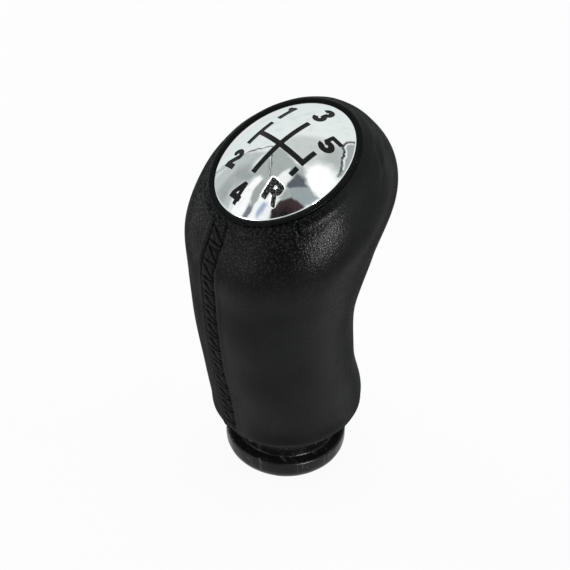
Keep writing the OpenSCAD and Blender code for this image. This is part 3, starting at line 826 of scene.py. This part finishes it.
flange_h, flange_r, foot_r, neck_r, spigot_z = 7.0, 15.55, 13.35, 12.7, 25.0
collar_profile = np.array(
    [(8.2, 0.0), (foot_r - 1.0, 0.0)]
    + [(foot_r - 1 + math.cos(a), 1 + math.sin(a)) for a in np.radians(np.linspace(-80, -30, 6))]
    + [(14.0, 1.15), (14.55, 1.65), (15.0, 2.25), (15.3, 2.85), (15.48, 3.4)]
    + [(flange_r, 3.9), (flange_r + 0.01, 4.6), (flange_r, 5.3)]
    + [
        (flange_r - 0.62 + 0.6 * math.cos(a), flange_h - 0.6 + 0.6 * math.sin(a))
        for a in np.radians(np.linspace(0, 90, 9))
    ]
    + [(14.2, flange_h), (13.5, flange_h), (13.1, 7.02), (12.85, 7.12), (12.74, 7.3), (neck_r, 7.6)]
    + [(neck_r, z) for z in np.linspace(8.2, spigot_z - 1, 18)]
    + [(12.1, spigot_z), (10.7, spigot_z), (10.7, 3.0), (8.2, 3.0)]
)
collar_columns = 320
around = np.linspace(0, 2 * math.pi, collar_columns, endpoint=False)
# The parting line of the mould: a fine raised line in one plane, with torn flash at the flange
parting = math.radians(-48)
off = np.abs((around - parting + math.pi / 2) % math.pi - math.pi / 2)
mark = np.exp(-((off * 13 / 0.11) ** 2))
r, z = collar_profile[:, :1], collar_profile[:, 1:]
outside = ((r[:, 0] > 12.6) & (z[:, 0] > 0.2) & (z[:, 0] < 14)).astype(float)[:, None]
waver = 0.02 * np.sin(7 * around)[None, :] * outside + 0.012 * np.sin(23 * around + z) * outside
swell = r + (0.07 * mark[None, :] + waver) * outside
collar_points = np.stack([swell * np.cos(around), swell * np.sin(around), np.broadcast_to(z, swell.shape)], 2)
collar_faces = grid_faces(len(collar_profile), collar_columns, closed_rows=True)
collar_plastic = plastic(
    "glossy black plastic", (0.003, 0.003, 0.0033), (0.007, 0.007, 0.007), 0.2, 0.36, 1100.0, 0.6, 0.35,
    (0.2, 0.19, 0.18), shine=0.16,
)
collar = add_piece("gaiter_collar_moulding", collar_points.reshape(-1, 3), collar_faces, [collar_plastic])
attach(collar, "root")
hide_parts("gaiter_collar")

# Studio
# A white light tent on a pale floor, with soft lamps. The plating mirrors the tent: pale walls,
# a few creases, a gap on the side where the camera stands, and brown hands behind it.

# The camera stands where a fit to the photograph's outline put it
azimuth, elevation, roll = math.radians(48.358), math.radians(41.002), math.radians(1.846)
level = math.cos(elevation)
back = np.array([math.sin(azimuth) * level, -math.cos(azimuth) * level, math.sin(elevation)])
right = np.array([math.cos(azimuth), math.sin(azimuth), 0.0])
up = np.cross(back, right)
stand = right * -1.387 + np.array([0, 0, 54.370]) + back * 491.63

world = bpy.data.worlds.new("tent")
bpy.context.scene.world = world
world.use_nodes = True
tree = world.node_tree
tree.nodes.clear()
aim = tree.nodes.new("ShaderNodeTexCoord").outputs["Generated"]
# The cloth sways in long waves and crumples in short ones: number of waves, and their size
ray = aim
for number, size in ((2.6, 0.09), (8.0, 0.08)):
    waves = noise(tree, aim, number, 4, 0.6).node.outputs["Color"]
    sway = reckon(tree, "SUBTRACT", waves, (0.5, 0.5, 0.5), None, "VectorMath")
    ray = reckon(tree, "MULTIPLY_ADD", sway, (size, size, size), ray, "VectorMath")


def toward(azimuth, elevation):
    """A direction from two angles in degrees; azimuth 0 is +X and 90 is +Y."""
    a, e = math.radians(azimuth), math.radians(elevation)
    return (math.cos(a) * math.cos(e), math.sin(a) * math.cos(e), math.sin(e))


def dotted(direction):
    """How far a ray goes along a direction, from -1 to 1."""
    return reckon(tree, "DOT_PRODUCT", ray, direction, None, "VectorMath").node.outputs["Value"]


def cloth_patch(azimuth, elevation, inner, outer, colour):
    """A round patch of the tent in another tone, with a soft border."""
    global tent
    low, high = math.cos(math.radians(outer)), math.cos(math.radians(inner))
    tent = tint(tree, spread(tree, dotted(toward(azimuth, elevation)), low, high, 0, 1), tent, colour)


def mirrored(u, v):
    """The direction in which the cap mirrors the tent to the camera, at a place of its face."""
    spot = on_cap([u, v, cap_rise * (1 - (2 * u / cap_w) ** 2 - (2 * v / cap_l) ** 2)])
    n = lean_matrix @ np.array([8 * cap_rise * u / cap_w**2, 8 * cap_rise * v / cap_l**2, 1.0])
    n /= np.linalg.norm(n)
    glance = (spot - stand) / np.linalg.norm(spot - stand)
    return glance - 2 * (glance @ n) * n


def tone(red, green, blue):
    """The strength of the cloth that shows as this tone in the plating."""
    return tuple(((c / 255 + 0.055) / 1.055) ** 2.4 / 0.83 for c in (red, green, blue))


def panel(colour, soft, *places):
    """A piece of cloth with straight borders, named by the places of the cap that mirror it."""
    global tent
    ways = [mirrored(*p) for p in places]
    inner = None
    for a, b in zip(ways, ways[1:] + ways[:1]):
        n = np.cross(a, b)
        n *= np.sign(n @ np.sum(ways, 0)) / np.linalg.norm(n)
        side = dotted(tuple(n))
        inner = side if inner is None else reckon(tree, "MINIMUM", inner, side)
    tent = tint(tree, spread(tree, inner, -soft / 2, soft / 2, 0, 1), tent, colour)


def crease(colour, width, *places):
    """A thin fold of the cloth through places of the cap."""
    global tent
    ways = [mirrored(*p) for p in places]
    nearest = None
    for a, b in zip(ways, ways[1:]):
        n, t = np.cross(a, b), b - a
        n, t, half = n / np.linalg.norm(n), t / np.linalg.norm(t), np.linalg.norm(t) / 2
        aside = reckon(tree, "ABSOLUTE", dotted(tuple(n)), None)
        past = reckon(tree, "SUBTRACT", reckon(tree, "ABSOLUTE", dotted(tuple(t)), None), half)
        here = reckon(tree, "MAXIMUM", aside, past)
        nearest = here if nearest is None else reckon(tree, "MINIMUM", nearest, here)
    tent = tint(tree, spread(tree, nearest, width * 0.3, width, 1, 0), tent, colour)


def mixed(factor, first, second):
    """One shader, or another one where the factor is 1."""
    node = tree.nodes.new("ShaderNodeMixShader")
    for place, value in enumerate((factor, first, second)):
        put(node, place, value)
    return node.outputs[0]


split = tree.nodes.new("ShaderNodeSeparateXYZ")
put(split, 0, aim)
tent = tint(tree, spread(tree, split.outputs["Z"], -0.3, 0.9, 0, 1), tone(216, 226, 225), tone(228, 235, 232))
cloth_patch(-94, -2, 12, 27, (6.0, 6.0, 6.0))
cloth_patch(-40, -2, 16, 42, (0.14, 0.145, 0.15))
cloth_patch(2, 28, 6, 20, (1.5, 1.5, 1.5))
# Upper right: greyer cloth, a sharp crack, and the part beyond it
panel(tone(198, 204, 201), 0.10, (0.6, 0.3), (0.8, 4), (6.2, 8.8), (9.8, 10.2), (13.8, 5.5), (9.5, 0.3))
panel(tone(174, 182, 179), 0.12, (8.6, 8.6), (10, 9.8), (13.8, 5.5), (14.2, 4), (11, 4.4), (9.3, 3.2))
panel(tone(160, 169, 167), 0.02, (9.9, 14.6), (9.2, 12.2), (9.6, 10.3), (13.8, 5.2), (15.3, 4), (14.5, 8), (12, 12.5))
crease(tone(28, 33, 33), 0.020, (9.9, 14), (9.2, 12.3), (9.6, 10.4), (10.9, 9.2), (12, 7.5), (13.4, 6.1), (14.1, 4.2))
crease(tone(245, 250, 248), 0.012, (10.3, 13.2), (9.75, 12.3), (10.0, 10.9), (11.2, 9.7), (12.3, 8.1), (13.7, 6.5))
# Below the gate: three fields of grey cloth with creases between them
panel(tone(187, 194, 193), 0.05, (-0.7, -0.7), (-0.3, -18.6), (-6.5, -18), (-11.6, -13.8), (-5.9, -6.2))
panel(tone(157, 164, 163), 0.16, (-2.6, -7.4), (1.4, -7.8), (1.2, -10.6), (0, -12), (-4.6, -12.6), (-4.6, -10))
panel(tone(162, 169, 168), 0.10, (-5, -12.6), (-2.6, -12.8), (-2.4, -18), (-6.4, -17.4))
panel(tone(166, 174, 171), 0.06, (-0.6, -0.3), (6.2, -0.5), (6.2, -3.5), (5.2, -7.4), (3.2, -8.9), (-0.3, -8.6))
crease(tone(88, 94, 93), 0.014, (-0.9, -0.9), (-3.5, -3.6), (-5.9, -6.2))
crease(tone(118, 124, 124), 0.012, (-8.7, -9.2), (-10.8, -12.3))
crease(tone(118, 124, 124), 0.012, (-8.2, -9.8), (-10.2, -12.8))
crease(tone(46, 50, 50), 0.014, (0.8, -3.0), (2.3, -4.7), (4.1, -6.8))
crease(tone(60, 64, 64), 0.012, (1.2, -3.9), (3.4, -6.6))
crease(tone(228, 234, 232), 0.010, (1.0, -3.5), (2.3, -5.05), (3.8, -6.75))
# Right: the window, a dark gap, grey-blue cloth, and brown hands behind the camera
panel(
    tone(226, 230, 228), 0.12, (8.6, 0.2), (9.2, 2.6), (11.4, 4.7), (13.8, 3.6), (15.4, 2), (15.4, -2.4),
    (12.5, -2.8), (10.3, -2.1), (8.9, -0.9),
)
panel((1.5, 1.5, 1.48), 0.16, (9.8, 0.3), (10.4, 2.2), (12, 3.4), (15.4, 2), (15.4, -2.4), (12.5, -2.6), (10.8, -1.4))
panel(tone(168, 176, 174), 0.05, (5.4, -0.6), (8.8, -0.4), (10.6, -2.0), (8.6, -3.0), (5.6, -3.4))
panel(tone(88, 94, 101), 0.05, (8.2, -2.2), (10.6, -2.1), (12.6, -2.9), (9.4, -5.9), (8.2, -6.2))
panel(
    tone(152, 162, 164), 0.04, (12.4, -2.8), (14.9, -2.6), (14.8, -5), (14, -6.5), (10.6, -7.0),
    (9, -6.4), (10.4, -4.6),
)
panel(tone(160, 166, 164), 0.05, (8.9, -6.0), (10.8, -6.9), (9.9, -9), (8.8, -9.2))
panel(tone(238, 243, 238), 0.05, (6.3, -2.4), (7.5, -3.9), (8.4, -6.4), (5.9, -6.5), (5.8, -4.4))
panel(
    tone(60, 49, 51), 0.03, (10.8, -6.9), (14, -6.4), (14.4, -8), (12.8, -11.8), (10.7, -14),
    (9.0, -12.1), (9.4, -9.4),
)
panel(tone(30, 26, 28), 0.10, (11.2, -9.6), (14, -9), (12.8, -12), (10.4, -13.8), (9.6, -12.4))
crease((1.6, 1.6, 1.6), 0.020, (15.25, -1), (15.0, -3.6), (14.4, -7.0))
# Lower right: white folds with grey and blue between them
panel(tone(158, 165, 162), 0.04, (3.1, -8.6), (4.7, -8), (5.3, -12.4), (5.0, -14.6), (3.8, -13.6), (2.9, -11))
panel(tone(238, 243, 240), 0.04, (6.0, -7.0), (7.6, -7.0), (7.8, -11.8), (6.3, -11.8))
panel(tone(250, 252, 249), 0.04, (1.7, -8.3), (3.1, -8.3), (3.0, -12.6), (1.3, -12.6))
panel(tone(250, 252, 249), 0.04, (1.3, -12), (3.0, -12), (4.0, -15.5), (3.9, -18.8), (0.9, -18.8))
panel(tone(118, 120, 130), 0.04, (4.0, -14.6), (5.1, -14.1), (5.6, -15.6), (5.2, -17.8), (4.2, -17.8))
panel(tone(242, 247, 246), 0.03, (5.1, -11.4), (6.7, -11.4), (6.6, -14.1), (5.5, -14.1))
panel(tone(242, 247, 246), 0.03, (5.5, -13.6), (6.8, -13.6), (7.0, -17.6), (5.5, -17.8))
panel(tone(240, 244, 243), 0.03, (6.6, -11.4), (9.1, -11.9), (9.5, -13.9), (8, -16), (6.7, -17.2))
panel(tone(165, 179, 204), 0.05, (6.7, -12), (7.7, -11.8), (8.0, -13.5), (7.6, -15.4), (6.9, -15.2), (6.6, -13.6))
mottle = noise(tree, stretched(tree, ray, (5, 14, 9), (0.4, 0.9, 0.3)), 1, 4, 0.6)
tent = tint(tree, spread(tree, mottle, 0.5, 0.72, 0, 0.16), tent, (0.2, 0.22, 0.22))
# Mirrors see the cloth; dull surfaces are lit by an even grey; the picture's background is white
way = tree.nodes.new("ShaderNodeLightPath")
backgrounds = []
for colour in (tent, (0.62, 0.63, 0.64), (1, 1, 1)):
    node = tree.nodes.new("ShaderNodeBackground")
    put(node, "Color", colour)
    backgrounds.append(node.outputs[0])
cloth, even_light, backdrop = backgrounds
lit = mixed(way.outputs["Is Diffuse Ray"], cloth, even_light)
put(tree.nodes.new("ShaderNodeOutputWorld"), "Surface", mixed(way.outputs["Is Camera Ray"], lit, backdrop))

# A round sheet of paper, in metres, lies a hair below the knob
floor_r, floor_z = 1.6, -0.00003
floor_mesh = bpy.data.meshes.new("floor")
turns = np.linspace(0, 2 * math.pi, 64, endpoint=False)
floor_points = [(floor_r * math.cos(a), floor_r * math.sin(a), floor_z) for a in turns]
floor_mesh.from_pydata(floor_points, [], [list(range(len(turns)))])
floor = bpy.data.objects.new("floor", floor_mesh)
bpy.context.scene.collection.objects.link(floor)
paper, tree, shader = start_material("white paper")
put(shader, "Base Color", (0.45, 0.45, 0.45))
put(shader, "Roughness", 0.9)
put(shader, "Specular IOR Level", 0.1)
white = tree.nodes.new("ShaderNodeEmission").outputs[0]
way = tree.nodes.new("ShaderNodeLightPath")
looked_at = reckon(tree, "MULTIPLY", way.outputs["Is Camera Ray"], 0.94)
glow = reckon(tree, "MULTIPLY_ADD", way.outputs["Is Glossy Ray"], 0.8, looked_at)
sheet = mixed(glow, shader.outputs[0], white)
# From below the paper is clear, so that the knob's underside can be seen
from_below = tree.nodes.new("ShaderNodeNewGeometry").outputs["Backfacing"]
clear = tree.nodes.new("ShaderNodeBsdfTransparent").outputs[0]
put(tree.nodes["Material Output"], "Surface", mixed(from_below, sheet, clear))
floor_mesh.materials.append(paper)


def soft_lamp(name, place, target, size, power, only_shine=False):
    """A flat lamp, wide and high as given, that looks at a target."""
    data = bpy.data.lights.new(name, "AREA")
    data.shape = "RECTANGLE"
    data.size, data.size_y = size
    data.energy = power
    lamp = bpy.data.objects.new(name, data)
    bpy.context.scene.collection.objects.link(lamp)
    lamp.visible_glossy, lamp.visible_diffuse = only_shine, not only_shine
    lamp.location = place
    lamp.rotation_mode = "QUATERNION"
    lamp.rotation_quaternion = (Vector(target) - Vector(place)).to_track_quat("-Z", "Y")


soft_lamp("lamp_left", (-0.55, -0.25, 0.35), (0, 0, 0.05), (0.4, 0.4), 3.0)
soft_lamp("lamp_right", (0.45, 0.45, 0.30), (0, 0, 0.05), (0.4, 0.4), 2.4)
soft_lamp("lamp_top", (-0.1, 0.2, 0.75), (0, 0, 0.05), (0.5, 0.5), 3.0)
# A tall narrow window that only gives a shine, on the leather's shoulder below the ring
soft_lamp("lamp_window", (0.45, -0.045, 0.145), (0.02, 0, 0.09), (0.05, 0.22), 3.9, only_shine=True)

camera_data = bpy.data.cameras.new("camera")
camera_data.sensor_width = 36.0
camera_data.lens = 126.11
camera_data.clip_start, camera_data.clip_end = 0.01, 20
camera = bpy.data.objects.new("camera", camera_data)
bpy.context.scene.collection.objects.link(camera)
tilted_right = right * math.cos(roll) + up * math.sin(roll)
tilted_up = up * math.cos(roll) - right * math.sin(roll)
axes = np.column_stack([tilted_right, tilted_up, back, stand / 1000])
camera.matrix_world = Matrix([list(row) for row in axes] + [[0, 0, 0, 1]])
bpy.context.scene.camera = camera
bpy.context.scene.view_settings.view_transform = "Standard"
